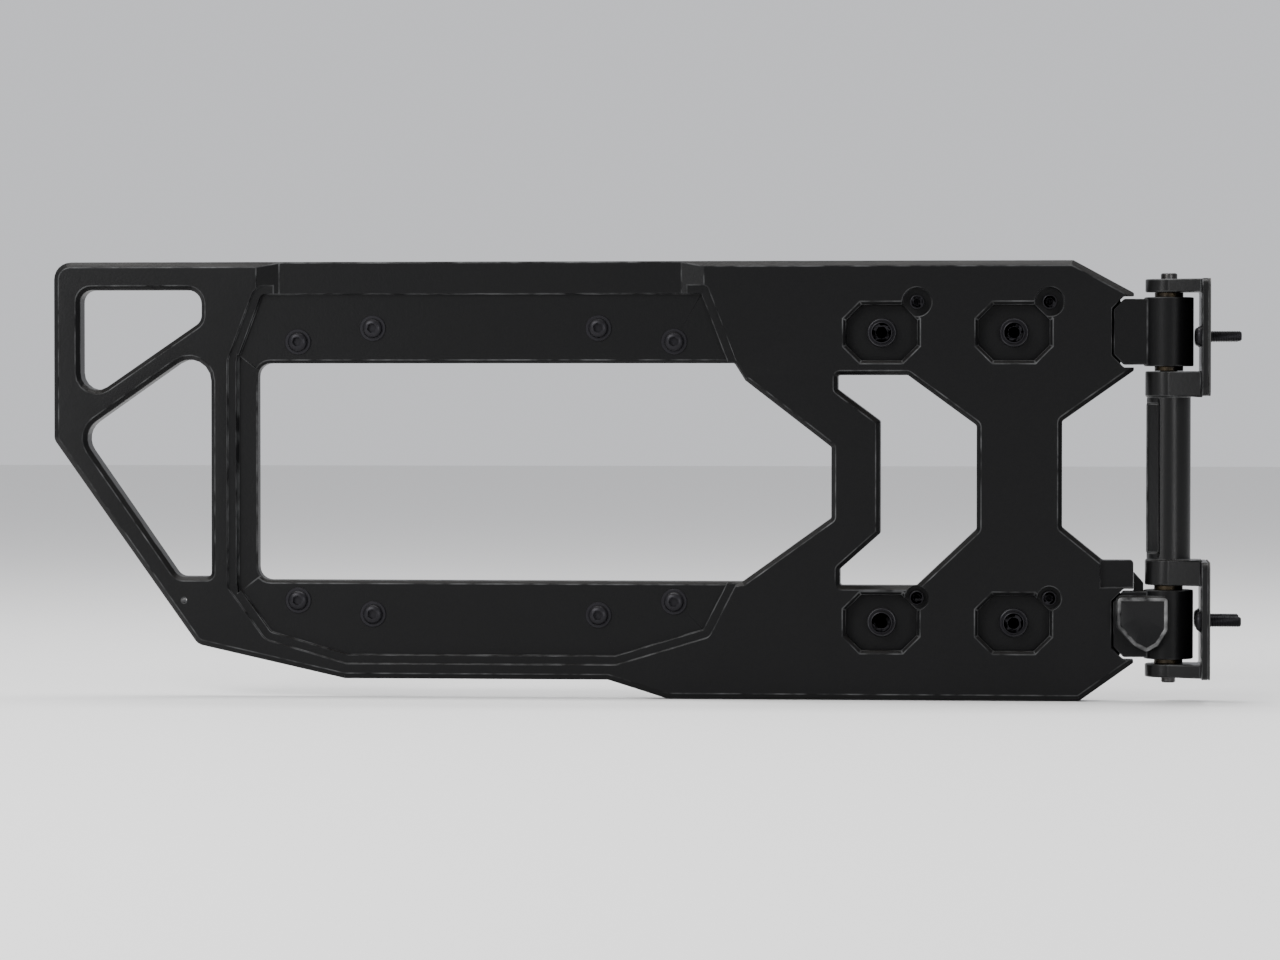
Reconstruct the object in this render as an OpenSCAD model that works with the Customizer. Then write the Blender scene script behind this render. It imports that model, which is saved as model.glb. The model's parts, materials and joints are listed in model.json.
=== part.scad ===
// Hinged spare tyre carrier for a side-opening tailgate.
// A cast frame bolts on the outside of the tailgate. Two forged hinge leaves under it turn on
// pins held by a bracket that bolts to the rear corner of the vehicle body.
// +X points from the tailgate to the vehicle, -Y is the outer face of the open gate, +Z is up.
// The origin is the centre of the four body studs, on the seat of the flange gaskets.

/* [Frame casting] */
// Depth of the casting, from its outer face to its back
frame_depth = 25; // [24:0.5:27]
// Thickness of the face over the cored back
face_skin = 7; // [6:0.5:8]
// Thickness of the walls and ribs around the cored cells
rib_wall = 6; // [5:0.5:7]
// Width of the bevel along the outer edge
outer_bevel = 5; // [3:0.5:6]
// Width of the bevel around the windows
window_bevel = 4; // [2:0.5:5]
// Depth of the upper step of the tyre recess
recess_step = 3; // [2:0.5:4]
// Depth of the bolt pads in the tyre recess
recess_depth = 8; // [7:0.5:9]
// Width of the ledge inside the recess edge
recess_ledge = 8; // [6:0.5:10]
// Drop of the top bar between its two ramps
bar_drop = 4; // [2:0.5:5]

/* [Tyre bracket bolts] */
// Spacing of the outer four bolts along the frame
outer_bolt_x = 350; // [340:1:356]
// Spacing of the outer four bolts up the frame
outer_bolt_z = 240; // [236:1:244]
// Spacing of the inner four bolts along the frame
inner_bolt_x = 210; // [200:1:220]
// Spacing of the inner four bolts up the frame
inner_bolt_z = 265; // [260:1:270]
// Radius of the bolt shanks
mount_bolt_r = 5; // [5:0.5:6]
// Length of shank that stands out of the back, into the tailgate
mount_bolt_reach = 22; // [16:1:30]

/* [Hinge leaves] */
// Spacing of the tailgate bolts along a leaf
leaf_bolt_x = 121; // [118:1:124]
// Spacing between the upper and the lower pair
leaf_bolt_z = 266; // [264:1:268]
// Radius of the tailgate bolt shanks
leaf_bolt_r = 6; // [5:0.5:7]
// Length of shank that stands out of a leaf, into the tailgate
leaf_bolt_reach = 22; // [16:1:30]
// Thickness of a leaf where it lies on the tailgate
leaf_t = 14; // [13:0.5:15]
// Thickness of the shield on the lower arm
shield_t = 6; // [4:0.5:7]
// Outer radius of the knuckles
knuckle_r = 22.5; // [21:0.25:22.5]
// Radius of the hinge pins
pin_r = 8; // [7:0.5:9]
// Wall of the bushes
bush_wall = 2.5; // [2:0.25:3]
// Radial running clearance between a pin and its bushes
pin_clearance = 0.05; // [0.02:0.01:0.08]

/* [Body bracket] */
// Distance from the hinge axis to the seat on the body
seat_x = 36; // [35:0.5:38]
// Radius of the column
column_r = 20; // [18:0.5:21]
// Thickness of the mounting flanges
flange_t = 6.5; // [6:0.5:7.5]
// Spacing of the body studs across a flange
stud_y = 54; // [50:1:56]
// Spacing between the upper and the lower studs
stud_z = 258; // [254:1:262]
// Radius of the body studs
stud_r = 5; // [4:0.5:6]
// Length of the body studs beyond the seat
stud_reach = 28; // [20:1:40]

/* [Rubber] */
// Thickness of the pads between the frame and the tailgate
pad_t = 3; // [2:0.5:4]
// Thickness of the gaskets under the flanges
gasket_t = 1.5; // [1:0.25:2]

/* [Hidden] */
$fn = 48;

CASTING = [0.13, 0.13, 0.13];
STEEL = [0.2, 0.2, 0.21];
RUBBER = [0.08, 0.08, 0.08];
BRONZE = [0.55, 0.45, 0.3];

shoulder = 0.4;                            // how much thicker a shank is inside its part than beyond it
smallest_r = 0.4;                          // least corner radius of a moved outline
far = 1;                                   // how far a cutting solid runs past a face
gap = 0.5;                                 // air between a leaf and the casting over it
axis_y = 17;                               // the hinge axis stands behind the centre of the body studs
axis_shift = [-seat_x, axis_y, 0];

// Depths along Y, measured from the hinge axis
gate_y = 14;                               // outside of the tailgate
back_y = gate_y - pad_t;                   // back of the casting
face_y = back_y - frame_depth;             // outer face of the casting
pad_y = face_y + recess_depth;             // face of the bolt pads
leaf_y = gate_y - leaf_t;                  // outer face of a leaf
arm_y = face_y + 3;                        // outer face of the arms beside their knuckles

// Heights along Z
knuckle_z0 = 102;                          // lower end of the upper knuckle, upper end of the lower one
knuckle_z1 = 165;
column_z = 97.5;
ear_z0 = knuckle_z1 + 4.5;
ear_t = 12;
ear_z1 = ear_z0 + ear_t;
ear_r = 21.5;
column_web = 23;                           // height of the webs at the ends of the column
leaf_z = leaf_bolt_z / 2;
leaf_mid_x = -201.5;
washer_t = 2.5;
tyre_x = -628;                             // centre of the tyre bracket pattern
tyre_z = 5;
pocket_w = 65;
pocket_h = 51;
pocket_cut = 14;
screw_dx = 32.5;
upper_screw_dz = 28;
lower_screw_dz = 23;

// Each outline is a list of [x, z, corner radius], counter-clockwise as seen from outside
FRAME = [[-87, 199, 3], [-1032, 199, 16], [-1032, 34, 10], [-897, -156, 12], [-759, -187, 6],
         [-514, -187, 6], [-459, -204, 6], [-81, -204, 3], [-32, -169, 2], [-32, -166, 0],
         [-41, -166, 0], [-52, -155, 0], [-52, -112, 0], [-41, -101, 0], [-32, -101, 0],
         [-32, -75, 3], [-60, -75, 3], [-97, -45, 3], [-97, 52, 3], [-32, 98, 2], [-32, 101, 0],
         [-41, 101, 0], [-52, 112, 0], [-52, 155, 0], [-41, 166, 0], [-32, 166, 0], [-32, 169, 2]];
// The outer edge without the notches of the arms, and the gap between the arms
BEVELLED = [[-87, 199, 3], [-1032, 199, 16], [-1032, 34, 10], [-897, -156, 12], [-759, -187, 6],
            [-514, -187, 6], [-459, -204, 6], [-81, -204, 3], [20, -132, 0], [20, 141, 0]];
SIDE_GAP = [[-97, 52, 3], [-97, -45, 3], [-60, -75, 3], [20, -75, 0], [20, 135, 0]];
// The part of the back that is cored, left of the hinge arms
CORED = [[-97, 199, 0], [-1032, 199, 16], [-1032, 34, 10], [-897, -156, 12], [-759, -187, 6],
         [-514, -187, 6], [-459, -204, 6], [-97, -204, 0]];
UPPER_LEFT_WINDOW = [[-1007, 173, 11], [-1007, 66, 16], [-893, 144, 11], [-893, 173, 13]];
LOWER_LEFT_WINDOW = [[-884, 127, 20], [-1008, 40, 19], [-915, -93, 11], [-884, -93, 4]];
TYRE_WINDOW = [[-841, 105, 12], [-841, -96, 12], [-390, -96, 2], [-308, -37, 2], [-308, 28, 2],
               [-387, 89, 2], [-397, 105, 3]];
HINGE_WINDOW = [[-302, 94, 2], [-302, 81, 2], [-263, 52, 3], [-263, -51, 3], [-300, -84, 2],
                [-300, -99, 2], [-230, -99, 3], [-175, -47, 4], [-175, 48, 4], [-238, 94, 3]];
WINDOWS = [UPPER_LEFT_WINDOW, LOWER_LEFT_WINDOW, TYRE_WINDOW, HINGE_WINDOW];
RECESS = [[-842, 177, 13], [-868, 108, 6], [-868, -103, 6], [-833, -151, 12], [-757, -173, 8],
          [-506, -173, 8], [-420, -147, 8], [-395, -98, 2], [-395, 107, 2], [-422, 177, 8]];
SIDE_STRIP = [[-859, 113, 0], [-859, -108, 0], [-838, -92, 0], [-838, 97, 0]];
UPPER_LEAF = [[-44, 163, 0], [-60, 163, 4], [-84, 176, 10], [-298, 176, 10], [-298, 104, 10],
              [-44, 104, 0]];
LOWER_LEAF = [[-44, -104, 0], [-296, -104, 10], [-296, -174, 10], [-84, -174, 10], [-60, -163, 4],
              [-44, -163, 0]];
SHIELD = [[-1, -108, 4], [-47, -108, 4], [-47, -135, 6], [-32, -152, 6], [-20, -158, 4],
          [-10, -152, 5], [-1, -138, 6]];
// Solid lands on the back for the rubber pads: [x, z] of the centre and [width, height]
LEFT_LAND = [[-1019, 120], [16, 120]];
UPPER_LAND = [[-630, 188], [340, 14]];
LOWER_LAND = [[-630, -177], [220, 12]];
RIGHT_LAND = [[-136, 0], [36, 90]];
LANDS = [LEFT_LAND, UPPER_LAND, LOWER_LAND, RIGHT_LAND];
pad_edge = 1;                              // width of the land left bare around a pad

function unit(v) = v / norm(v);
function left(v) = [-v.y, v.x];

// The arc that rounds corner b between its neighbours a and c
function corner_arc(a, b, c, r, steps = 6) =
    let (u = unit(a - b), v = unit(c - b), half = acos(u * v) / 2,
         centre = b + unit(u + v) * r / sin(half), side = sign(cross(u, v)),
         from = -left(u) * side * r, turn = side * (180 - 2 * half))
    [for (k = [0 : steps]) let (t = -turn * k / steps)
        centre + [from.x * cos(t) - from.y * sin(t), from.x * sin(t) + from.y * cos(t)]];

// An outline's points, with an arc at each rounded corner
function outline(list) = let (n = len(list)) [for (i = [0 : n - 1])
    let (a = list[(i + n - 1) % n], b = list[i], c = list[(i + 1) % n],
         pa = [a.x, a.y], pb = [b.x, b.y], pc = [c.x, c.y])
    each (b[2] > 0 ? corner_arc(pa, pb, pc, b[2]) : [pb])];

// The same list with every side moved by d towards the inside, and its corner radii to suit
function inset(list, d) = let (n = len(list)) [for (i = [0 : n - 1])
    let (a = list[(i + n - 1) % n], b = list[i], c = list[(i + 1) % n],
         u = unit([b.x - a.x, b.y - a.y]), v = unit([c.x - b.x, c.y - b.y]),
         move = d * (left(u) + left(v)) / (1 + u * v), turn = sign(cross(u, v)))
    [b.x + move.x, b.y + move.y, b[2] > 0 ? max(smallest_r, b[2] - turn * d) : 0]];

function pocket(x, z) = let (a = pocket_w / 2, b = pocket_h / 2, c = pocket_cut)
    [[x + a, z + b - c, 0], [x + a - c, z + b, 0], [x - a + c, z + b, 0], [x - a, z + b - c, 0],
     [x - a, z - b + c, 0], [x - a + c, z - b, 0], [x + a - c, z - b, 0], [x + a, z - b + c, 0]];
function grid(cx, cz, dx, dz) = [for (i = [-1, 1], j = [-1, 1]) [cx + i * dx / 2, cz + j * dz / 2]];

OUTER_BOLTS = grid(tyre_x, tyre_z, outer_bolt_x, outer_bolt_z);
INNER_BOLTS = grid(tyre_x, tyre_z, inner_bolt_x, inner_bolt_z);
LEAF_BOLT_XS = [leaf_mid_x - leaf_bolt_x / 2, leaf_mid_x + leaf_bolt_x / 2];
UPPER_SCREWS = [for (x = LEAF_BOLT_XS) [x + screw_dx, leaf_z + upper_screw_dz]];
LOWER_SCREWS = [for (x = LEAF_BOLT_XS) [x + screw_dx, -leaf_z + lower_screw_dz]];

module at_hinge() { translate(axis_shift) children(); }

// A flat shape drawn in X and Z, given its depth from y0 to y1
module slab(y0, y1) { translate([0, y1, 0]) rotate([90, 0, 0]) linear_extrude(y1 - y0) children(); }

// A round bar along Y
module bar(x, z, r, y0, y1) { translate([x, y1, z]) rotate([90, 0, 0]) cylinder(h = y1 - y0, r = r); }

// A turned part whose axis is Y: the profile is [radius, distance behind y]
module turned(x, z, y, profile) {
    translate([x, y, z]) rotate([-90, 0, 0]) rotate_extrude() polygon(profile);
}

// Cuts a bevel of width w and depth d round an outline at the face y. side is 1 where the metal
// is inside the outline and -1 where it is outside.
module bevel(list, y, w, d, side) {
    k = 0.25;
    n = len(outline(list));
    loops = [[w * (1 + k), -d * k], [-w * k, -d * k], [-w * k, d * (1 + k)]];
    rings = [for (l = loops) [for (p = outline(inset(list, side * l.x))) [p.x, y + l.y, p.y]]];
    quads = [for (j = [0 : 2], i = [0 : n - 1])
        [j * n + i, j * n + (i + 1) % n, (j + 1) % 3 * n + (i + 1) % n, (j + 1) % 3 * n + i]];
    polyhedron(points = concat(rings[0], rings[1], rings[2]),
               faces = side > 0 ? quads : [for (q = quads) [q[3], q[2], q[1], q[0]]]);
}

module rectangle(land, edge) {
    translate(land[0]) square(land[1] - [2 * edge, 2 * edge], center = true);
}

// Where the back of the casting is hollow, between its ribs and bosses
module cells() {
    difference() {
        polygon(outline(inset(CORED, rib_wall)));
        for (w = WINDOWS) polygon(outline(inset(w, -rib_wall)));
        for (leaf = [UPPER_LEAF, LOWER_LEAF]) polygon(outline(inset(leaf, -rib_wall)));
        for (land = LANDS) rectangle(land, 0);
        for (p = concat(OUTER_BOLTS, INNER_BOLTS)) translate(p) circle(r = mount_bolt_r + 9.5);
        for (x = [-990 : 76 : -230]) translate([x, -210]) square([rib_wall, 420]);
        translate([-1040, -2]) square([200, rib_wall]);
        translate([-310, -3]) square([90, rib_wall]);
    }
}

module carrier_frame() {
    color(CASTING) at_hinge() difference() {
        union() {
            slab(face_y, back_y) polygon(outline(FRAME));
            for (p = concat(OUTER_BOLTS, INNER_BOLTS)) bar(p.x, p.y, mount_bolt_r + 8, pad_y, gate_y);
        }
        bevel(BEVELLED, face_y, outer_bevel, outer_bevel, 1);
        bevel(SIDE_GAP, face_y, window_bevel, window_bevel, -1);
        // windows, with a second bevel round the tyre window where it opens in the recess
        for (w = WINDOWS) {
            slab(face_y - far, back_y + far) polygon(outline(w));
            bevel(w, face_y, window_bevel, window_bevel + 1, -1);
        }
        intersection() {
            bevel(TYRE_WINDOW, pad_y, window_bevel - 1, window_bevel - 1, -1);
            slab(face_y, back_y) polygon(outline(inset(RECESS, recess_ledge)));
        }
        // tyre recess with its stepped wall, and the lower strip beside the window
        slab(face_y - far, face_y + recess_step) polygon(outline(RECESS));
        slab(face_y - far, pad_y) polygon(outline(inset(RECESS, recess_ledge)));
        slab(face_y - far, pad_y + 2) polygon(outline(SIDE_STRIP));
        // top bar between the ramps
        translate([0, 0, 165]) linear_extrude(50)
            polygon([[-841, face_y - far], [-425, face_y - far], [-425, face_y],
                     [-446, face_y + bar_drop], [-820, face_y + bar_drop], [-841, face_y]]);
        // lowered corner above the lower arm
        translate([-62, face_y - far, -100]) cube([40, far + 5, 30]);
        // pockets over the tailgate bolts, and the spot faces of the plate screws
        for (x = LEAF_BOLT_XS, s = [-1, 1]) {
            slab(face_y - far, back_y + far) polygon(outline(pocket(x, s * leaf_z)));
            bevel(pocket(x, s * leaf_z), face_y, 3, 3, -1);
        }
        for (p = UPPER_SCREWS) screw_seat(p, 13.5);
        for (p = LOWER_SCREWS) screw_seat(p, 11);
        for (p = concat(OUTER_BOLTS, INNER_BOLTS)) bar(p.x, p.y, mount_bolt_r + shoulder, face_y, gate_y + far);
        // seats for the leaves, and the cored back
        for (leaf = [UPPER_LEAF, LOWER_LEAF])
            slab(leaf_y - gap, back_y + far) polygon(outline(inset(leaf, -far)));
        for (s = [-1, 1]) translate([-60, leaf_y - gap, s > 0 ? 102 : -165])
            cube([40, back_y + far - leaf_y + gap, 63]);
        slab(pad_y + face_skin - 1, back_y + far) cells();
        slab(face_y + face_skin, back_y + far) difference() {
            cells();
            polygon(outline(inset(RECESS, -rib_wall)));
        }
        bar(-909, -115, 2.5, face_y - far, back_y + far);
    }
}

module screw_seat(p, r) {
    bar(p.x, p.y, r, face_y - far, face_y + 8.5);
    bar(p.x, p.y, 4.25, face_y, back_y);
}

// One hinge leaf. s is 1 for the upper and -1 for the lower.
module hinge_leaf(plan, screws, s) {
    z0 = s > 0 ? knuckle_z0 : -knuckle_z1;
    h = knuckle_z1 - knuckle_z0;
    at_hinge() difference() {
        union() {
            slab(leaf_y, gate_y) polygon(outline(plan));
            // the arm fills the notch in the frame and runs into the knuckle
            slab(arm_y, gate_y) polygon(
                [for (p = [[-14, 103.5], [-14, 163.5], [-41, 163.5], [-50.5, 154],
                           [-50.5, 113], [-41, 103.5]]) [p.x, s * p.y]]);
            translate([0, 0, z0]) cylinder(h = h, r = knuckle_r);
        }
        translate([0, 0, z0 - far]) cylinder(h = h + 2 * far, r = pin_r + pin_clearance + bush_wall);
        for (x = LEAF_BOLT_XS) bar(x, s * leaf_z, leaf_bolt_r + shoulder, leaf_y - far, gate_y + far);
        for (p = screws) bar(p.x, p.y, 4, leaf_y - far, gate_y + far);
    }
}

module upper_hinge_leaf() { color(STEEL) hinge_leaf(UPPER_LEAF, UPPER_SCREWS, 1); }

shield_y = -knuckle_r - 0.5;               // face of the boss under the shield
module lower_hinge_leaf() {
    color(STEEL) {
        hinge_leaf(LOWER_LEAF, LOWER_SCREWS, -1);
        // boss for the shield, and the gusset above the arm
        at_hinge() difference() {
            slab(shield_y, 0) polygon(outline(SHIELD));
            translate([0, 0, -170]) cylinder(h = 70, r = pin_r + 6);
        }
        at_hinge() slab(3, gate_y)
            polygon([[-31.5, -104.5], [-31.5, -86], [-22.6, -96], [-22.6, -104.5]]);
    }
}

// The shield. Its face falls from the rim to one point.
module hinge_arm_cap() {
    front = shield_y - shield_t;
    rim = outline(inset(SHIELD, 3.5));
    n = len(rim);
    color(CASTING) at_hinge() difference() {
        slab(front, shield_y) polygon(outline(SHIELD));
        polyhedron(points = concat([for (p = rim) [p.x, front - 0.3, p.y]],
                                   [[-25, shield_y - 1.5, -126], [-25, front - 2, -126]]),
                   faces = [for (i = [0 : n - 1])
                       each [[i, (i + 1) % n, n], [(i + 1) % n, i, n + 1]]]);
    }
}

// A flanged bush. dir is 1 when its flange is at the top.
module bush(z, dir) {
    inner = pin_r + pin_clearance;
    outer = inner + bush_wall;
    color(BRONZE) at_hinge() translate([0, 0, z]) mirror([0, 0, dir > 0 ? 0 : 1])
        rotate_extrude() polygon([[inner, -26], [outer, -26], [outer, 0], [outer + 2.5, 0],
                                  [outer + 2.5, 4.2], [inner, 4.2]]);
}
module upper_bush_top() { bush(knuckle_z1, 1); }
module upper_bush_bottom() { bush(knuckle_z0, -1); }
module lower_bush_top() { bush(-knuckle_z0, 1); }
module lower_bush_bottom() { bush(-knuckle_z1, -1); }

// Bolt through a leaf into the tailgate, with its head in the pocket of the frame
module leaf_bolts(s) {
    y = leaf_y - washer_t;
    grip = leaf_t + washer_t;
    reach = grip + leaf_bolt_reach;
    color(STEEL) at_hinge() for (x = LEAF_BOLT_XS) difference() {
        turned(x, s * leaf_z, y, [[0, -9], [9, -9], [10.5, -7.5], [10.5, 0], [leaf_bolt_r + shoulder, 0],
                                  [leaf_bolt_r + shoulder, grip], [leaf_bolt_r, grip],
                                  [leaf_bolt_r, reach - 1.5], [leaf_bolt_r - 1.5, reach], [0, reach]]);
        translate([x, y - 4, s * leaf_z]) rotate([90, 0, 0]) cylinder(h = 10, r = 6, $fn = 6);
    }
}
module upper_leaf_bolts() { leaf_bolts(1); }
module lower_leaf_bolts() { leaf_bolts(-1); }

module leaf_washers(s) {
    color(STEEL) at_hinge() for (x = LEAF_BOLT_XS) turned(x, s * leaf_z, leaf_y,
        [[leaf_bolt_r + shoulder, -washer_t], [12.5, -washer_t], [13.5, 1 - washer_t], [13.5, 0],
         [leaf_bolt_r + shoulder, 0]]);
}
module upper_leaf_washers() { leaf_washers(1); }
module lower_leaf_washers() { leaf_washers(-1); }

// Socket screws that tie the frame to a leaf
module plate_screws(places) {
    y = face_y + 8.5;
    color(STEEL) at_hinge() for (p = places) difference() {
        turned(p.x, p.y, y, [[0, -7.5], [5.7, -7.5], [6.5, -6.7], [6.5, 0], [4, 0], [4, 17], [0, 17]]);
        translate([p.x, y - 3.5, p.y]) rotate([90, 0, 0]) cylinder(h = 10, r = 3.6, $fn = 6);
    }
}
module upper_plate_screws() { plate_screws(UPPER_SCREWS); }
module lower_plate_screws() { plate_screws(LOWER_SCREWS); }

// Flanged button-head bolts on the pads
module mount_bolts(places) {
    grip = gate_y - pad_y;
    reach = grip + mount_bolt_reach;
    color(STEEL) at_hinge() for (p = places) difference() {
        turned(p.x, p.y, pad_y, [[0, -6.5], [4.5, -6.4], [7.5, -5.2], [9.2, -3], [9.4, -1.8], [11.6, -1.5],
                                 [12, -1], [12, 0], [mount_bolt_r + shoulder, 0],
                                 [mount_bolt_r + shoulder, grip], [mount_bolt_r, grip],
                                 [mount_bolt_r, reach - 1.5], [mount_bolt_r - 1.5, reach], [0, reach]]);
        translate([p.x, pad_y - 2.6, p.y]) rotate([90, 0, 0]) cylinder(h = 10, r = 4.6, $fn = 6);
    }
}
module outer_mount_bolts() { mount_bolts(OUTER_BOLTS); }
module inner_mount_bolts() { mount_bolts(INNER_BOLTS); }

module pad(land) { color(RUBBER) at_hinge() slab(back_y, gate_y) rectangle(land, pad_edge); }
module left_pad() { pad(LEFT_LAND); }
module upper_pad() { pad(UPPER_LAND); }
module lower_pad() { pad(LOWER_LAND); }
module right_pad() { pad(RIGHT_LAND); }

// Plan of an ear, from round the pin to the flange
module ear_plan() {
    circle(r = ear_r);
    polygon([[0, -ear_r], [flange_x + far, -36], [flange_x + far, ear_r], [0, ear_r]]);
}
flange_x = seat_x - gasket_t - flange_t;
flange_y0 = -60;
flange_y1 = 22;
flange_z0 = 75;
stud_ys = [-axis_y - stud_y / 2, -axis_y + stud_y / 2];

// A flange's face seen along X, with rounded corners
module flange_plan() {
    difference() {
        hull() for (y = [flange_y0 + 8, flange_y1 - 8], z = [flange_z0 + 8, ear_z1 - 8])
            translate([y, z]) circle(r = 8, $fn = 32);
        for (y = stud_ys) translate([y, stud_z / 2]) circle(r = stud_r + shoulder);
    }
}

// Solid with its plan in Y and Z, between two distances along X
module plate_yz(x0, x1) { translate([x0, 0, 0]) rotate([90, 0, 90]) linear_extrude(x1 - x0) children(); }

module body_bracket() {
    groove_z = 68;
    color(CASTING) at_hinge() difference() {
        union() {
            translate([0, 0, -column_z]) cylinder(h = 2 * column_z, r = column_r);
            for (s = [0, 1]) mirror([0, 0, s]) {
                translate([0, 0, ear_z0]) linear_extrude(ear_t) ear_plan();
                translate([0, 0, column_z - column_web]) linear_extrude(column_web) ear_plan();
                plate_yz(flange_x, flange_x + flange_t) flange_plan();
            }
        }
        for (s = [0, 1]) mirror([0, 0, s]) {
            translate([0, 0, column_z - 14]) cylinder(h = 120, r = pin_r);
            // set screw that locks the pin, from the back of the column
            translate([0, 0, column_z - 8]) rotate([-90, 0, 0]) cylinder(h = 40, r = 2.5);
        }
        // long flat down the outer side of the column
        rotate([0, 0, 35]) translate([-column_r - 2, -9, -groove_z]) cube([4.5, 18, 2 * groove_z]);
    }
}

module flange_gasket(s) {
    color(RUBBER) at_hinge() mirror([0, 0, s > 0 ? 0 : 1])
        plate_yz(seat_x - gasket_t, seat_x) flange_plan();
}
module upper_flange_gasket() { flange_gasket(1); }
module lower_flange_gasket() { flange_gasket(-1); }

module body_flange_bolts() {
    grip = flange_t + gasket_t;
    reach = grip + stud_reach;
    color(STEEL) at_hinge() for (y = stud_ys, s = [-1, 1])
        translate([flange_x, y, s * stud_z / 2]) rotate([0, 90, 0]) difference() {
            rotate_extrude() polygon([[0, -4.6], [5, -4.5], [8, -3.4], [8.6, -1.8], [9.5, -1.5], [9.5, 0],
                                      [stud_r + shoulder, 0], [stud_r + shoulder, grip], [stud_r, grip],
                                      [stud_r, reach - 1.5], [stud_r - 1.5, reach], [0, reach]]);
            translate([0, 0, -6]) cylinder(h = 4, r = 3.6, $fn = 6);
        }
}

// A hinge pin, from its seat in the column to its free end past the ear
module hinge_pin(s, end_r) {
    z0 = column_z - 14;
    color(STEEL) at_hinge() mirror([0, 0, s > 0 ? 0 : 1]) translate([0, 0, z0])
        rotate_extrude() polygon([[0, 0], [pin_r, 0], [pin_r, ear_z1 - z0], [end_r, ear_z1 - z0],
                                  [end_r, ear_z1 - z0 + 4.5], [end_r - 1, ear_z1 - z0 + 5.5],
                                  [0, ear_z1 - z0 + 5.5]]);
}
module upper_hinge_pin() { hinge_pin(1, pin_r - 0.5); }
module lower_hinge_pin() { hinge_pin(-1, pin_r - 1.5); }

module pin_set_screws() {
    color(STEEL) at_hinge() for (s = [-1, 1])
        translate([0, pin_r, s * (column_z - 8)]) rotate([-90, 0, 0]) difference() {
            cylinder(h = 8, r = 2.5);
            translate([0, 0, 5.5]) cylinder(h = 4, r = 1.4, $fn = 6);
        }
}

body_bracket();
upper_flange_gasket();
lower_flange_gasket();
body_flange_bolts();
upper_hinge_pin();
lower_hinge_pin();
pin_set_screws();
carrier_frame();
upper_hinge_leaf();
lower_hinge_leaf();
upper_bush_top();
upper_bush_bottom();
lower_bush_top();
lower_bush_bottom();
upper_leaf_bolts();
lower_leaf_bolts();
upper_leaf_washers();
lower_leaf_washers();
upper_plate_screws();
lower_plate_screws();
outer_mount_bolts();
inner_mount_bolts();
hinge_arm_cap();
left_pad();
upper_pad();
lower_pad();
right_pad();
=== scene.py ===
import json
import math

import bmesh
import bpy
from mathutils import Matrix, Vector
from mathutils.bvhtree import BVHTree


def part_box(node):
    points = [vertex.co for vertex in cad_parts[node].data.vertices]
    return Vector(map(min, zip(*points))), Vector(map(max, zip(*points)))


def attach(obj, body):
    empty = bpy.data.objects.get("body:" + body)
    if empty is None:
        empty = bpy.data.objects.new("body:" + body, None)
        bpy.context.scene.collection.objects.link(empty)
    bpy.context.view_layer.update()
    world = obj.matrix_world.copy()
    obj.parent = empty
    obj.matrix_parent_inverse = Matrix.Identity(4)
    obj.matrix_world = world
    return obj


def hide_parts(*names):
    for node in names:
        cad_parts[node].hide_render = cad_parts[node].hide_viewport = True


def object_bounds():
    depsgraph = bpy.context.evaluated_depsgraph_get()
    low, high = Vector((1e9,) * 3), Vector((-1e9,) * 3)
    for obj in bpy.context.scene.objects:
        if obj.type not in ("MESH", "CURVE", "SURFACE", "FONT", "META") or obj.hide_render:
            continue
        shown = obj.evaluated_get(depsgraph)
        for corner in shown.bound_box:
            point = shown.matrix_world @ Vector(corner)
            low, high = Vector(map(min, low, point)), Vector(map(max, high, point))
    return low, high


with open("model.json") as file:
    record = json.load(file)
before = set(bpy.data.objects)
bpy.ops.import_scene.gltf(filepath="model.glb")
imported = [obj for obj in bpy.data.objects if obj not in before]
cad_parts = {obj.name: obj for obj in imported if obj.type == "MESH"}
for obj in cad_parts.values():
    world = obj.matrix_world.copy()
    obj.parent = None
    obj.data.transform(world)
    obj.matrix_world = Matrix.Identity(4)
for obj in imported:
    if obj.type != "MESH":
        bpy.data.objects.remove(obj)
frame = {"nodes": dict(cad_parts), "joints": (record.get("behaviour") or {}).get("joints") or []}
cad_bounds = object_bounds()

# ---------------------------------------------------------------------------------------------
# Camera. It looks at the outer face of the open gate, from a little to the hinge side and just
# above the middle of the frame, far enough away that the long casting shows almost no taper.

scene = bpy.context.scene
low, high = Vector(cad_bounds[0]), Vector(cad_bounds[1])
centre = (low + high) / 2
CAMERA_SIDE = math.radians(5)
CAMERA_RISE = math.radians(1.2)
CAMERA_DISTANCE = 4.2
FILL = 0.93                                   # share of the view's width that the object takes
eye = centre + CAMERA_DISTANCE * Vector((math.sin(CAMERA_SIDE) * math.cos(CAMERA_RISE),
                                         -math.cos(CAMERA_SIDE) * math.cos(CAMERA_RISE),
                                         math.sin(CAMERA_RISE)))
camera = bpy.data.objects.new("camera", bpy.data.cameras.new("camera"))
scene.collection.objects.link(camera)
camera.location = eye
camera.rotation_euler = (centre - eye).to_track_quat("-Z", "Y").to_euler()
camera.data.lens = camera.data.sensor_width * CAMERA_DISTANCE * FILL / (high.x - low.x)
scene.camera = camera

# ---------------------------------------------------------------------------------------------
# The frame: one aluminium casting, bevelled all round, machined on the bolt pads and powder
# coated black. The coat is fine and slightly pebbled, and thinner on the edges, which are painted
# paler: partly wear, partly a painted highlight along each round.

MM = 0.001
MERGE = 0.002 * MM                            # vertices nearer than this are one vertex
COAT_BLACK = (0.0027, 0.0027, 0.0029, 1)
# paler colour for the rounded edges: patches of wear, and a painted highlight along each round
COAT_EDGE_WEAR_AND_HIGHLIGHT = (0.060, 0.061, 0.062, 1)
DUST = (0.16, 0.145, 0.125, 1)


def nodes_of(tree):
    """Short calls for adding a node and joining two sockets in a tree."""
    def add(kind, **settings):
        node = tree.nodes.new(kind)
        for name, value in settings.items():
            setattr(node, name, value)
        return node

    def join(a, b):
        tree.links.new(a, b)
    return add, join


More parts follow.
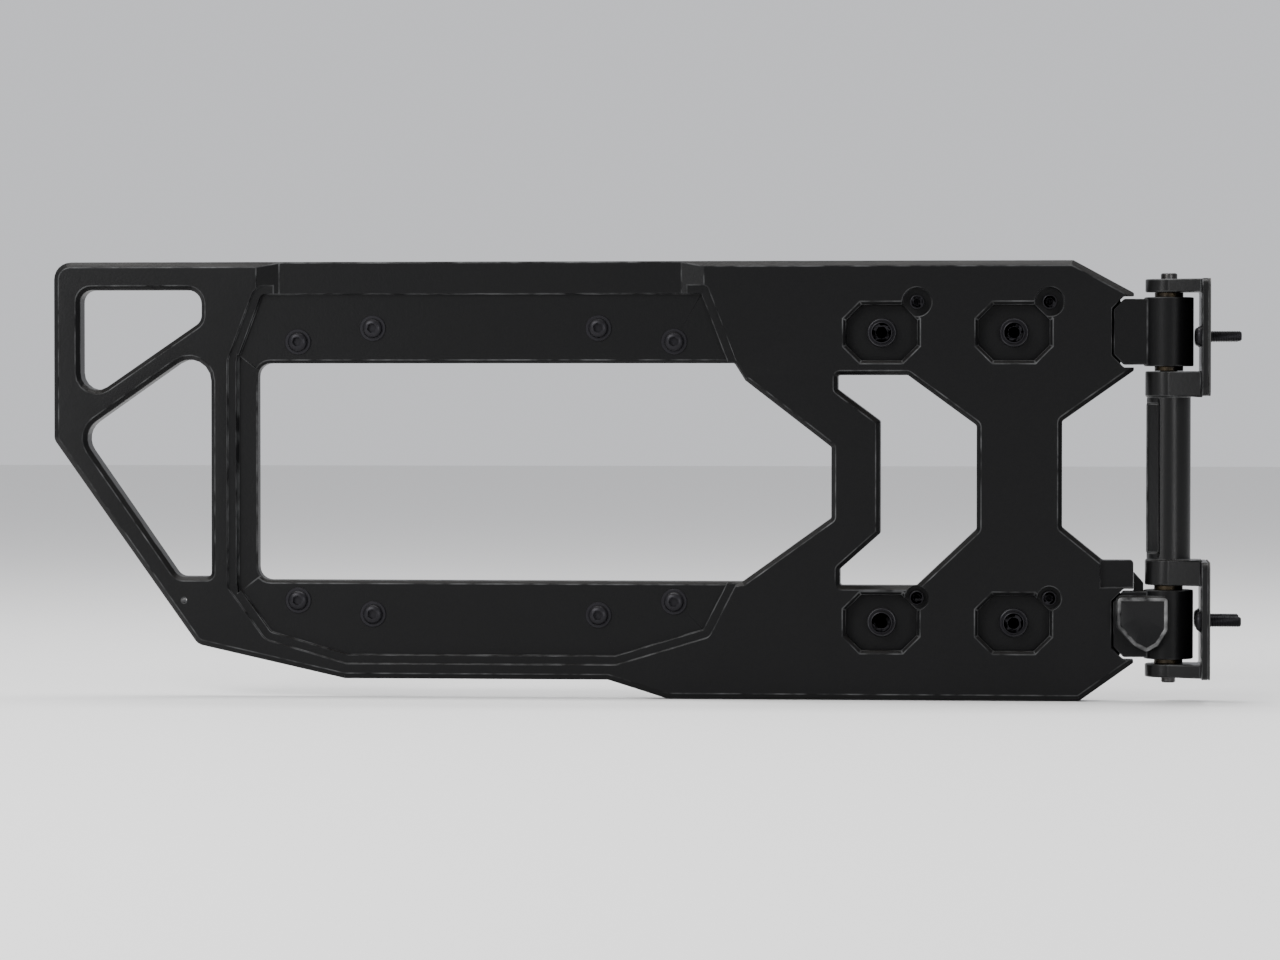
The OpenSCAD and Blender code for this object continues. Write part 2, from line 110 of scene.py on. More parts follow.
def shader_group(name, inputs, outputs):
    """An empty shader node group with the named sockets, and its two end nodes."""
    group = bpy.data.node_groups.new(name, "ShaderNodeTree")
    for label, value in inputs:
        socket = group.interface.new_socket(label, in_out="INPUT", socket_type="NodeSocketFloat")
        socket.default_value = value
    for label in outputs:
        group.interface.new_socket(label, in_out="OUTPUT", socket_type="NodeSocketFloat")
    return group, group.nodes.new("NodeGroupInput"), group.nodes.new("NodeGroupOutput")


def powder_grain_group():
    """Pebbled skin of a cured powder coat: its height, its gloss and its slow change of tone."""
    group, given, result = shader_group(
        "powder_grain", [("Grain per metre", 900), ("Waviness", 0.4)], ["Height", "Gloss", "Tone"])
    add, join = nodes_of(group)
    place = add("ShaderNodeTexCoord")
    grain = add("ShaderNodeTexNoise")
    grain.inputs["Detail"].default_value = 2
    join(place.outputs["Object"], grain.inputs["Vector"])
    join(given.outputs["Grain per metre"], grain.inputs["Scale"])
    pebble_scale = add("ShaderNodeMath", operation="MULTIPLY")
    join(given.outputs["Grain per metre"], pebble_scale.inputs[0])
    pebble_scale.inputs[1].default_value = 0.42
    pebbles = add("ShaderNodeTexVoronoi", feature="SMOOTH_F1")
    pebbles.inputs["Smoothness"].default_value = 0.8
    join(place.outputs["Object"], pebbles.inputs["Vector"])
    join(pebble_scale.outputs[0], pebbles.inputs["Scale"])
    wave = add("ShaderNodeTexNoise")
    wave.inputs["Scale"].default_value = 45
    wave.inputs["Detail"].default_value = 2
    join(place.outputs["Object"], wave.inputs["Vector"])
    sum_a = add("ShaderNodeMath", operation="ADD")
    join(grain.outputs["Fac"], sum_a.inputs[0])
    join(pebbles.outputs["Distance"], sum_a.inputs[1])
    waved = add("ShaderNodeMath", operation="MULTIPLY_ADD")
    join(wave.outputs["Fac"], waved.inputs[0])
    join(given.outputs["Waviness"], waved.inputs[1])
    join(sum_a.outputs[0], waved.inputs[2])
    join(waved.outputs[0], result.inputs["Height"])
    cloud = add("ShaderNodeTexNoise")
    cloud.inputs["Scale"].default_value = 7
    cloud.inputs["Detail"].default_value = 4
    cloud.inputs["Roughness"].default_value = 0.6
    join(place.outputs["Object"], cloud.inputs["Vector"])
    tone = add("ShaderNodeMapRange")
    tone.inputs["From Min"].default_value = 0.3
    tone.inputs["From Max"].default_value = 0.7
    join(cloud.outputs["Fac"], tone.inputs["Value"])
    join(tone.outputs["Result"], result.inputs["Tone"])
    gloss = add("ShaderNodeMath", operation="MULTIPLY_ADD")
    join(grain.outputs["Fac"], gloss.inputs[0])
    gloss.inputs[1].default_value = 0.5
    join(cloud.outputs["Fac"], gloss.inputs[2])
    join(gloss.outputs[0], result.inputs["Gloss"])
    return group


def edge_wear_and_highlight_group():
    """The rounded edges, in uneven patches: where the coat is thin or rubbed, and a painted highlight
    along each edge.
    """
    group, given, result = shader_group("edge_wear_and_highlight", [("Amount", 0.5)], ["Mask"])
    add, join = nodes_of(group)
    place = add("ShaderNodeTexCoord")
    edge = add("ShaderNodeAttribute", attribute_name="edge")
    patch = add("ShaderNodeTexNoise")
    patch.inputs["Scale"].default_value = 60
    patch.inputs["Detail"].default_value = 5
    join(place.outputs["Object"], patch.inputs["Vector"])
    spread = add("ShaderNodeMapRange")
    spread.inputs["From Min"].default_value = 0.38
    spread.inputs["From Max"].default_value = 0.72
    join(patch.outputs["Fac"], spread.inputs["Value"])
    wear_and_highlight = add("ShaderNodeMath", operation="MULTIPLY")
    join(edge.outputs["Fac"], wear_and_highlight.inputs[0])
    join(spread.outputs["Result"], wear_and_highlight.inputs[1])
    amount = add("ShaderNodeMath", operation="MULTIPLY", use_clamp=True)
    join(wear_and_highlight.outputs[0], amount.inputs[0])
    join(given.outputs["Amount"], amount.inputs[1])
    join(amount.outputs[0], result.inputs["Mask"])
    return group


def road_dust_group():
    """A thin film of dust on faces that look up, heavier in patches."""
    group, given, result = shader_group("road_dust", [("Amount", 0.3)], ["Mask"])
    add, join = nodes_of(group)
    shape = add("ShaderNodeNewGeometry")
    split = add("ShaderNodeSeparateXYZ")
    join(shape.outputs["Normal"], split.inputs[0])
    upward = add("ShaderNodeMapRange")
    upward.inputs["From Min"].default_value = 0.25
    upward.inputs["From Max"].default_value = 0.95
    join(split.outputs["Z"], upward.inputs["Value"])
    place = add("ShaderNodeTexCoord")
    patch = add("ShaderNodeTexNoise")
    patch.inputs["Scale"].default_value = 28
    patch.inputs["Detail"].default_value = 6
    patch.inputs["Roughness"].default_value = 0.65
    join(place.outputs["Object"], patch.inputs["Vector"])
    both = add("ShaderNodeMath", operation="MULTIPLY")
    join(upward.outputs["Result"], both.inputs[0])
    join(patch.outputs["Fac"], both.inputs[1])
    amount = add("ShaderNodeMath", operation="MULTIPLY", use_clamp=True)
    join(both.outputs[0], amount.inputs[0])
    join(given.outputs["Amount"], amount.inputs[1])
    join(amount.outputs[0], result.inputs["Mask"])
    return group


powder_grain = powder_grain_group()
edge_wear_and_highlight = edge_wear_and_highlight_group()
road_dust = road_dust_group()


def coated(name, black, wear_and_highlight, rough, grain_per_m, bump, wear_and_highlight_amount, dust, metallic=0.0, worn_metallic=0.0,
           gleam=0.11):
    """A coated metal: a dark pebbled skin, paler on its edges as wear and as a painted highlight,
    with a little dust on top.
    """
    material = bpy.data.materials.new(name)
    material.use_nodes = True
    tree = material.node_tree
    add, join = nodes_of(tree)
    shader = tree.nodes["Principled BSDF"]
    grain = add("ShaderNodeGroup", node_tree=powder_grain)
    grain.inputs["Grain per metre"].default_value = grain_per_m
    wear_and_highlight_mask = add("ShaderNodeGroup", node_tree=edge_wear_and_highlight)
    wear_and_highlight_mask.inputs["Amount"].default_value = wear_and_highlight_amount
    film = add("ShaderNodeGroup", node_tree=road_dust)
    film.inputs["Amount"].default_value = dust
    tone = add("ShaderNodeMix", data_type="RGBA")
    tone.inputs["A"].default_value = [c * 0.82 for c in black[:3]] + [1]
    tone.inputs["B"].default_value = [c * 1.22 for c in black[:3]] + [1]
    join(grain.outputs["Tone"], tone.inputs["Factor"])
    # paler colour on the rounded edges: patches of wear, and a painted highlight along each edge
    edge = add("ShaderNodeMix", data_type="RGBA")
    edge.inputs["B"].default_value = wear_and_highlight
    join(wear_and_highlight_mask.outputs["Mask"], edge.inputs["Factor"])
    join(tone.outputs["Result"], edge.inputs["A"])
    dusty = add("ShaderNodeMix", data_type="RGBA")
    dusty.inputs["B"].default_value = DUST
    join(film.outputs["Mask"], dusty.inputs["Factor"])
    join(edge.outputs["Result"], dusty.inputs["A"])
    join(dusty.outputs["Result"], shader.inputs["Base Color"])
    gloss = add("ShaderNodeMapRange")
    gloss.inputs["From Min"].default_value = 0.35
    gloss.inputs["From Max"].default_value = 1.15
    gloss.inputs["To Min"].default_value = rough + 0.07
    gloss.inputs["To Max"].default_value = rough - 0.07
    join(grain.outputs["Gloss"], gloss.inputs["Value"])
    dulled = add("ShaderNodeMath", operation="MULTIPLY_ADD", use_clamp=True)
    join(film.outputs["Mask"], dulled.inputs[0])
    dulled.inputs[1].default_value = 0.4
    join(gloss.outputs["Result"], dulled.inputs[2])
    join(dulled.outputs[0], shader.inputs["Roughness"])
    shader.inputs["Specular IOR Level"].default_value = gleam
    if worn_metallic > metallic:
        shine = add("ShaderNodeMapRange")
        shine.inputs["To Min"].default_value = metallic
        shine.inputs["To Max"].default_value = worn_metallic
        join(wear_and_highlight_mask.outputs["Mask"], shine.inputs["Value"])
        join(shine.outputs["Result"], shader.inputs["Metallic"])
    else:
        shader.inputs["Metallic"].default_value = metallic
    relief = add("ShaderNodeBump")
    relief.inputs["Strength"].default_value = bump
    relief.inputs["Distance"].default_value = 0.00025
    join(grain.outputs["Height"], relief.inputs["Height"])
    join(relief.outputs["Normal"], shader.inputs["Normal"])
    return material


def show(mesh, name, material, body, node):
    """Links a finished mesh as a piece that rides on a body and stands for a CAD node."""
    mesh.materials.clear()
    mesh.materials.append(material)
    piece = bpy.data.objects.new(name, mesh)
    scene.collection.objects.link(piece)
    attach(piece, body)
    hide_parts(node)


def soft_edged(node, width, segments=2, level_creases=False, left_sharp=None):
    """A merged copy of a CAD node's mesh with rounded edges, and an "edge" mark on the rounds.

    Edges that bend more than a facet of a curve does are rounded. With level_creases, so is any
    bent edge that keeps one depth: on a casting cut from flat outlines those are creases.
    Short edges near the point left_sharp stay sharp: a round is wider than the metal there."""
    facet, crease_bend, flat = math.radians(28), math.radians(3), 0.002
    spared_reach = 15 * MM
    mesh = frame["nodes"][node].data.copy()
    mesh.materials.clear()
    shape = bmesh.new()
    shape.from_mesh(mesh)
    bmesh.ops.remove_doubles(shape, verts=shape.verts, dist=MERGE)
    bmesh.ops.dissolve_degenerate(shape, edges=shape.edges, dist=MERGE)
    level = [e for e in shape.edges if len(e.link_faces) == 2 and e.calc_face_angle(0) < flat]
    bmesh.ops.beautify_fill(shape, faces=shape.faces, edges=level)
    weight = shape.edges.layers.float.new("bevel_weight_edge")
    for edge in shape.edges:
        bend = edge.calc_face_angle(0) if len(edge.link_faces) == 2 else 0
        crease = level_creases and abs(edge.verts[0].co.y - edge.verts[1].co.y) < 1e-5
        spared = left_sharp and all(
            math.hypot(v.co.x - left_sharp[0], v.co.z - left_sharp[1]) < spared_reach
            for v in edge.verts)
        if bend > (crease_bend if crease else facet) and not spared:
            edge[weight] = 1
    for face in shape.faces:
        face.smooth = True
    skin = BVHTree.FromBMesh(shape)
    shape.to_mesh(mesh)
    shape.free()
    for slot in ("skin", "rounds"):               # the bevel puts its faces in the second slot
        mesh.materials.append(None)
    holder = bpy.data.objects.new("holder", mesh)
    scene.collection.objects.link(holder)
    bevel = holder.modifiers.new("round", "BEVEL")
    bevel.width = width
    bevel.segments = segments
    bevel.limit_method = "WEIGHT"
    bevel.loop_slide = False
    bevel.use_clamp_overlap = False
    bevel.material = 1
    even = holder.modifiers.new("even", "WEIGHTED_NORMAL")
    even.mode = "FACE_AREA"
    even.weight = 50
    even.keep_sharp = False
    ready = holder.evaluated_get(bpy.context.evaluated_depsgraph_get())
    rounded = bpy.data.meshes.new_from_object(ready)
    bpy.data.objects.remove(holder)
    for vertex in rounded.vertices:               # a round that ran off a narrow step goes back
        nearest, _, _, stray = skin.find_nearest(vertex.co)
        if stray > 0.8 * width:
            vertex.co = nearest
    marks = [float(p.material_index == 1) for p in rounded.polygons]
    rounded.attributes.new("edge", "FLOAT", "FACE").data.foreach_set("value", marks)
    rounded.polygons.foreach_set("material_index", [0] * len(marks))
    return rounded


frame_coat = coated("frame_powder_coat", COAT_BLACK, COAT_EDGE_WEAR_AND_HIGHLIGHT, rough=0.38, grain_per_m=950,
                    bump=0.26, wear_and_highlight_amount=0.9, dust=0.10)
WINDOW_CORNER = (-0.429, 0.099)               # x and z, in metres, where a ramp thins the metal
show(soft_edged("carrier_frame", 0.7 * MM, level_creases=True, left_sharp=WINDOW_CORNER),
     "frame_casting", frame_coat, "gate_side", "carrier_frame")

# ---------------------------------------------------------------------------------------------
# The two hinge leaves: steel forgings that lie on the tailgate under the frame, with an arm and
# a bored knuckle each. They have the same black coat as the frame, painted a little darker as
# painted shade in the frame's deep pockets where they show, and a shade duller.

# a little darker than the frame's coat: painted shade for the deep pockets
leaf_coat = coated("leaf_powder_coat", (0.0026, 0.0026, 0.0028, 1), COAT_EDGE_WEAR_AND_HIGHLIGHT, rough=0.42,
                   grain_per_m=800, bump=0.32, wear_and_highlight_amount=0.7, dust=0.10, gleam=0.10)
for side in ("upper", "lower"):
    show(soft_edged(side + "_hinge_leaf", 1.0 * MM, segments=3), side + "_leaf_forging", leaf_coat,
         "gate_side", side + "_hinge_leaf")

# ---------------------------------------------------------------------------------------------
# The body bracket: one casting with the column, four ears and two flanges, bolted to the body
# through the flanges. It has a smoother coat than the gate's parts.

bracket_coat = coated("bracket_enamel", (0.0032, 0.0032, 0.0033, 1), COAT_EDGE_WEAR_AND_HIGHLIGHT, rough=0.32,
                      grain_per_m=600, bump=0.22, wear_and_highlight_amount=0.8, dust=0.12, gleam=0.16)
show(soft_edged("body_bracket", 1.2 * MM, segments=3), "bracket_casting", bracket_coat,
     "body_side", "body_bracket")

# ---------------------------------------------------------------------------------------------
# The shield on the lower arm: a glossy moulded cap with a rounded rim, pressed on its boss. The
# rim's outward faces are painted pale as a painted highlight. Its face falls from the rim to one
# point, so the part under the top edge stays dark.

hinge = Vector(frame["joints"][0]["pos_m"])
SHIELD_BOSS = 23                              # from the hinge axis out to the boss, in mm
SHIELD = [(-1, -108, 4), (-47, -108, 4), (-47, -135, 6), (-32, -152, 6), (-20, -158, 4),
          (-10, -152, 5), (-1, -138, 6)]      # x and z from the hinge axis and corner radius, in mm
SHIELD_RINGS = [(0, 0), (0, -5.0), (0.3, -5.6), (0.9, -5.95), (1.7, -6.0), (2.5, -5.9), (3.1, -5.6),
                (3.6, -5.0)]                  # step in from the edge and depth from the boss, in mm
SHIELD_LOW_POINT = (-25, -126, -1.5)          # x and z from the axis, depth from the boss, in mm
SHIELD_CREASE = math.radians(24)


def shield_ring(step_in, steps=5):
    """The shield's outline moved in by a step, with its corners rounded."""
    points = []
    count = len(SHIELD)
    for k, (x, z, radius) in enumerate(SHIELD):
        corner = Vector((x, z))
        before = (Vector(SHIELD[k - 1][:2]) - corner).normalized()
        after = (Vector(SHIELD[(k + 1) % count][:2]) - corner).normalized()
        half = before.angle(after) / 2
        middle = corner + (before + after).normalized() * radius / math.sin(half)
        first = corner + before * radius / math.tan(half) - middle
        last = corner + after * radius / math.tan(half) - middle
        sweep = first.angle_signed(last)
        for n in range(steps + 1):
            turn = Matrix.Rotation(-sweep * n / steps, 2)
            points.append(middle + (turn @ first) * (1 - step_in / radius))
    return points


def shield_place(x, z, depth):
    """A place on the shield, given from the hinge axis and the boss."""
    return hinge + Vector((x, depth - SHIELD_BOSS, z)) * MM


shield_verts, shield_faces = [], []
for step_in, depth in SHIELD_RINGS:
    shield_verts += [shield_place(point.x, point.y, depth) for point in shield_ring(step_in)]
around = len(shield_ring(0))
for ring in range(len(SHIELD_RINGS) - 1):
    for k in range(around):
        a, b = ring * around + k, ring * around + (k + 1) % around
        shield_faces.append((a, b, b + around, a + around))
inner = (len(SHIELD_RINGS) - 1) * around
shield_verts.append(shield_place(*SHIELD_LOW_POINT))
for k in range(around):
    shield_faces.append((inner + k, inner + (k + 1) % around, len(shield_verts) - 1))
shield_faces.append(tuple(reversed(range(around))))
shield = bpy.data.meshes.new("arm_shield")
shield.from_pydata(shield_verts, [], shield_faces)
shape = bmesh.new()
shape.from_mesh(shield)
bmesh.ops.remove_doubles(shape, verts=shape.verts, dist=MERGE)
bmesh.ops.recalc_face_normals(shape, faces=shape.faces)
for face in shape.faces:
    face.smooth = True
for edge in shape.edges:
    edge.smooth = edge.calc_face_angle(0) < SHIELD_CREASE
shape.to_mesh(shield)
shape.free()
# the quads that face out are the rim, painted the paler colour as a painted highlight
rim_highlight_marks = [float(len(p.vertices) == 4 and p.normal.y < -0.6) for p in shield.polygons]
shield.attributes.new("edge", "FLOAT", "FACE").data.foreach_set("value", rim_highlight_marks)
# its pale second colour is the painted highlight on the rim
cap_gloss = coated("cap_moulding", (0.0045, 0.0045, 0.0048, 1), (0.16, 0.16, 0.16, 1), rough=0.26,
                   grain_per_m=300, bump=0.04, wear_and_highlight_amount=1.0, dust=0.1, gleam=0.13)
show(shield, "arm_shield", cap_gloss, "gate_side", "hinge_arm_cap")

# ---------------------------------------------------------------------------------------------
# All bolts and screws: steel with a black finish, turned heads with a hexagon socket and rolled
# threads. One rule makes them: it turns a profile, cuts the socket, winds the thread, and puts a
# copy on each place with its own turn, as a fitter leaves them.

FASTENER_SIZES = {                            # in mm, as on the bolts of the tyre bracket
    "Flange_radius": 12, "Flange_height": 1.5, "Head_radius": 9.2, "Head_height": 6.5,
    "Crown_radius": 5, "Crown_height": 4.2, "Socket_radius": 4.6, "Socket_depth": 3.9,
    "Grip_radius": 5.4, "Grip_length": 20, "Thread_radius": 5, "Thread_length": 22, "Pitch": 1.5}
POINT = 1.2 * MM                              # length of the tapered point of a shank
BREAK = 0.3 * MM                              # width of the bevel that breaks a flange's edge
CLOSE = 0.02 * MM                             # gap between two rings that make a sharp step


def fastener_tree():
    """Geometry Nodes that turn a fastener and set a copy on each of the points given."""
    tree = bpy.data.node_groups.new("fastener", "GeometryNodeTree")
    add, join = nodes_of(tree)
    tree.interface.new_socket("Places", in_out="INPUT", socket_type="NodeSocketGeometry")
    for label in FASTENER_SIZES:
        tree.interface.new_socket(label, in_out="INPUT", socket_type="NodeSocketFloat")
    tree.interface.new_socket("Direction", in_out="INPUT", socket_type="NodeSocketVector")
    tree.interface.new_socket("Seed", in_out="INPUT", socket_type="NodeSocketInt")
    tree.interface.new_socket("Material", in_out="INPUT", socket_type="NodeSocketMaterial")
    tree.interface.new_socket("Fasteners", in_out="OUTPUT", socket_type="NodeSocketGeometry")
    given = add("NodeGroupInput").outputs
    result = add("NodeGroupOutput")

    def put(value, socket):
        """Gives a socket a plain number, or joins another node's output to it."""
        if isinstance(value, (int, float)):
            socket.default_value = value
        else:
            join(value, socket)

    def calc(operation, a, b=0.0, c=0.0):
        """One Math node on numbers or outputs."""
        node = add("ShaderNodeMath", operation=operation)
        for value, socket in zip((a, b, c), node.inputs):
            put(value, socket)
        return node.outputs[0]

    def vector(x, y, z):
        node = add("ShaderNodeCombineXYZ")
        for value, socket in zip((x, y, z), node.inputs):
            put(value, socket)
        return node.outputs[0]

    def by_index(values):
        """Gives the first point the first value, the second point the second, and so on."""
        node = add("GeometryNodeIndexSwitch", data_type="FLOAT")
        while len(node.index_switch_items) < len(values):
            node.index_switch_items.new()
        join(add("GeometryNodeInputIndex").outputs[0], node.inputs["Index"])
        for k, value in enumerate(values):
            put(value, node.inputs[1 + k])
        return node.outputs[0]

    # turned body: one ring for each height and radius, from the tip of the shank to the crown
    thread_cut = calc("MULTIPLY", given["Pitch"], 0.55)
    core = calc("SUBTRACT", given["Thread_radius"], thread_cut)
    under = calc("MULTIPLY", given["Grip_length"], -1.0)
    tip = calc("SUBTRACT", under, given["Thread_length"])
    shoulder = calc("SUBTRACT", given["Head_height"], given["Crown_height"])
    flare = calc("SUBTRACT", given["Head_radius"], given["Crown_radius"])
    rings = [(tip, calc("SUBTRACT", given["Thread_radius"], 1.5 * MM)),
             (calc("ADD", tip, POINT), core),
             (calc("SUBTRACT", under, 0.05 * MM), core),
             (under, given["Grip_radius"]),
             (-CLOSE, given["Grip_radius"]),
             (0.0, calc("SUBTRACT", given["Flange_radius"], BREAK)),
             (BREAK, given["Flange_radius"]),
             (calc("MULTIPLY", given["Flange_height"], 0.7), given["Flange_radius"]),
             (given["Flange_height"], calc("SUBTRACT", given["Flange_radius"], 0.5 * MM)),
             (calc("ADD", given["Flange_height"], CLOSE), given["Head_radius"]),
             (shoulder, given["Head_radius"])]
    for step in (30, 60, 90):
        rise, run = math.sin(math.radians(step)), math.cos(math.radians(step))
        rings.append((calc("MULTIPLY_ADD", given["Crown_height"], rise, shoulder),
                      calc("MULTIPLY_ADD", flare, run, given["Crown_radius"])))
    line = add("GeometryNodeMeshLine", mode="OFFSET")
    line.inputs["Count"].default_value = len(rings)
    heights = add("GeometryNodeSetPosition")
    join(line.outputs[0], heights.inputs["Geometry"])
    join(vector(0.0, 0.0, by_index([ring[0] for ring in rings])), heights.inputs["Position"])
    axis = add("GeometryNodeMeshToCurve")
    join(heights.outputs[0], axis.inputs["Mesh"])
    circle = add("GeometryNodeCurvePrimitiveCircle", mode="RADIUS")
    circle.inputs["Resolution"].default_value = 40
    circle.inputs["Radius"].default_value = 1
    turned = add("GeometryNodeCurveToMesh")
    join(axis.outputs[0], turned.inputs["Curve"])
    join(circle.outputs[0], turned.inputs["Profile Curve"])
    join(by_index([ring[1] for ring in rings]), turned.inputs["Scale"])
    turned.inputs["Fill Caps"].default_value = True

    # hexagon socket
    prism = add("GeometryNodeMeshCylinder")
    prism.inputs["Vertices"].default_value = 6
    join(given["Socket_radius"], prism.inputs["Radius"])
    join(calc("MULTIPLY", given["Socket_depth"], 2.0), prism.inputs["Depth"])
    drop = add("GeometryNodeTransform")
    join(prism.outputs["Mesh"], drop.inputs["Geometry"])
    join(vector(0.0, 0.0, given["Head_height"]), drop.inputs["Translation"])
    cut = add("GeometryNodeMeshBoolean", operation="DIFFERENCE")
    join(turned.outputs[0], cut.inputs["Mesh 1"])
    join(drop.outputs[0], cut.inputs["Mesh 2"])

    # thread: a cylinder whose wall follows a helix
    rod = add("GeometryNodeMeshCylinder")
    rod.inputs["Vertices"].default_value = 20
    join(given["Thread_radius"], rod.inputs["Radius"])
    threaded = calc("SUBTRACT", given["Thread_length"], POINT)
    join(threaded, rod.inputs["Depth"])
    rows = calc("MULTIPLY", calc("DIVIDE", threaded, given["Pitch"]), 4.0)
    join(rows, rod.inputs["Side Segments"])
    place = add("ShaderNodeSeparateXYZ")
    join(add("GeometryNodeInputPosition").outputs[0], place.inputs[0])
    x, y, z = place.outputs
    turn = calc("DIVIDE", calc("ARCTAN2", y, x), 2 * math.pi)
    phase = calc("ADD", calc("DIVIDE", z, given["Pitch"]), turn)
    dip = calc("MULTIPLY", calc("PINGPONG", phase, 0.5), calc("MULTIPLY", thread_cut, 2.0))
    keep = calc("SUBTRACT", 1.0, calc("DIVIDE", dip, given["Thread_radius"]))
    middle = calc("SUBTRACT", under, calc("MULTIPLY", threaded, 0.5))
    wound = add("GeometryNodeSetPosition")
    join(rod.outputs["Mesh"], wound.inputs["Geometry"])
    join(vector(calc("MULTIPLY", x, keep), calc("MULTIPLY", y, keep), calc("ADD", z, middle)),
         wound.inputs["Position"])

    both = add("GeometryNodeJoinGeometry")
    join(cut.outputs[0], both.inputs[0])
    join(wound.outputs[0], both.inputs[0])
    smooth = add("GeometryNodeSetShadeSmooth", domain="FACE")
    join(both.outputs[0], smooth.inputs["Geometry"])
    crisp = add("GeometryNodeSetShadeSmooth", domain="EDGE")
    bend = add("GeometryNodeInputMeshEdgeAngle")
    compare = add("FunctionNodeCompare", data_type="FLOAT", operation="GREATER_THAN")
    join(bend.outputs["Unsigned Angle"], compare.inputs["A"])
    compare.inputs["B"].default_value = math.radians(32)
    join(smooth.outputs[0], crisp.inputs["Geometry"])
    join(compare.outputs[0], crisp.inputs["Selection"])
    crisp.inputs["Shade Smooth"].default_value = False
    copies = add("GeometryNodeInstanceOnPoints")
    join(given["Places"], copies.inputs["Points"])
    join(crisp.outputs[0], copies.inputs["Instance"])
    join(given["Direction"], copies.inputs["Rotation"])
    spin = add("FunctionNodeRandomValue", data_type="FLOAT")
    spin.inputs["Max"].default_value = 2 * math.pi
    join(given["Seed"], spin.inputs["Seed"])
    turned_copies = add("GeometryNodeRotateInstances")
    join(copies.outputs[0], turned_copies.inputs["Instances"])
    join(vector(0.0, 0.0, spin.outputs["Value"]), turned_copies.inputs["Rotation"])
    real = add("GeometryNodeRealizeInstances")
    join(turned_copies.outputs[0], real.inputs[0])
    finish = add("GeometryNodeSetMaterial")
    join(real.outputs[0], finish.inputs["Geometry"])
    join(given["Material"], finish.inputs["Material"])
    join(finish.outputs[0], result.inputs[0])
    return tree


fastener = fastener_tree()
# paler second colour on the rounded edges: wear, and a painted highlight along each edge
BLACK_OXIDE = coated("black_fastener_finish", (0.014, 0.0135, 0.0155, 1), (0.13, 0.13, 0.135, 1),
                     rough=0.36, grain_per_m=2200, bump=0.10, wear_and_highlight_amount=0.5, dust=0.08, metallic=0.55,
                     worn_metallic=0.9)
OUTWARD = (math.pi / 2, 0, 0)                 # a head that faces the outside of the gate
INWARD = (0, -math.pi / 2, 0)                 # a head on a flange, its shank into the body


def fasteners(node, name, body, seed, direction, **changes):
    """Fasteners at the places where a CAD node has them, with the sizes that differ, in mm."""
    sizes = {**FASTENER_SIZES, **changes}
    lowest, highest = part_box(node)
    reach = sizes["Flange_radius"] * MM           # a flange is what touches the node's box
    shank = (sizes["Grip_length"] + sizes["Thread_length"]) * MM
    if direction == INWARD:
        spots = [(highest.x - shank, y, z) for y in (lowest.y + reach, highest.y - reach)
                 for z in (lowest.z + reach, highest.z - reach)]
    else:
        spots = sorted({(x, highest.y - shank, round(z, 6))
                        for x in (lowest.x + reach, highest.x - reach)
                        for z in (lowest.z + reach, highest.z - reach)})
    points = bpy.data.meshes.new(name + "_places")
    points.from_pydata(spots, [], [])
    holder = bpy.data.objects.new(name, points)
    scene.collection.objects.link(holder)
    rule = holder.modifiers.new("fastener", "NODES")
    rule.node_group = fastener
    wanted = {label: size * MM for label, size in sizes.items()}
    wanted.update({"Direction": direction, "Seed": seed, "Material": BLACK_OXIDE})
    for item in fastener.interface.items_tree:
        if item.in_out == "INPUT" and item.name in wanted:
            rule[item.identifier] = wanted[item.name]
    ready = holder.evaluated_get(bpy.context.evaluated_depsgraph_get())
    mesh = bpy.data.meshes.new_from_object(ready)
    bpy.data.objects.remove(holder)
    show(mesh, name, BLACK_OXIDE, body, node)


for ring, seed in (("outer", 3), ("inner", 8)):
    fasteners(ring + "_mount_bolts", ring + "_tyre_bracket_bolts", "gate_side", seed, OUTWARD)
for side, seed in (("upper", 5), ("lower", 6)):
    fasteners(side + "_leaf_bolts", side + "_leaf_cap_screws", "gate_side", seed, OUTWARD,
              Flange_radius=10.5, Flange_height=0.8, Head_radius=10.5, Head_height=9,
              Crown_radius=9, Crown_height=1.5, Socket_radius=6, Socket_depth=5, Grip_radius=6.4,
              Grip_length=16.5, Thread_radius=6, Thread_length=22, Pitch=1.75)
    fasteners(side + "_plate_screws", side + "_frame_to_leaf_screws", "gate_side", seed + 10,
              OUTWARD, Flange_radius=6.5, Flange_height=0.8, Head_radius=6.5, Head_height=7.5,
              Crown_radius=5.6, Crown_height=0.9, Socket_radius=3.6, Socket_depth=4, Grip_radius=4,
              Grip_length=8, Thread_radius=4, Thread_length=9, Pitch=1.25)
fasteners("body_flange_bolts", "bracket_button_bolts", "body_side", 21, INWARD,
          Flange_radius=9.5, Head_radius=8.6, Head_height=4.6, Crown_height=3,
          Socket_radius=3.6, Socket_depth=2.8, Grip_length=8, Thread_length=28)

# ---------------------------------------------------------------------------------------------
# Washers, pins, bushes and set screws: turned parts. The washers are black, the pins ground
# steel with a little oil, and the bushes bronze gone dark in service.


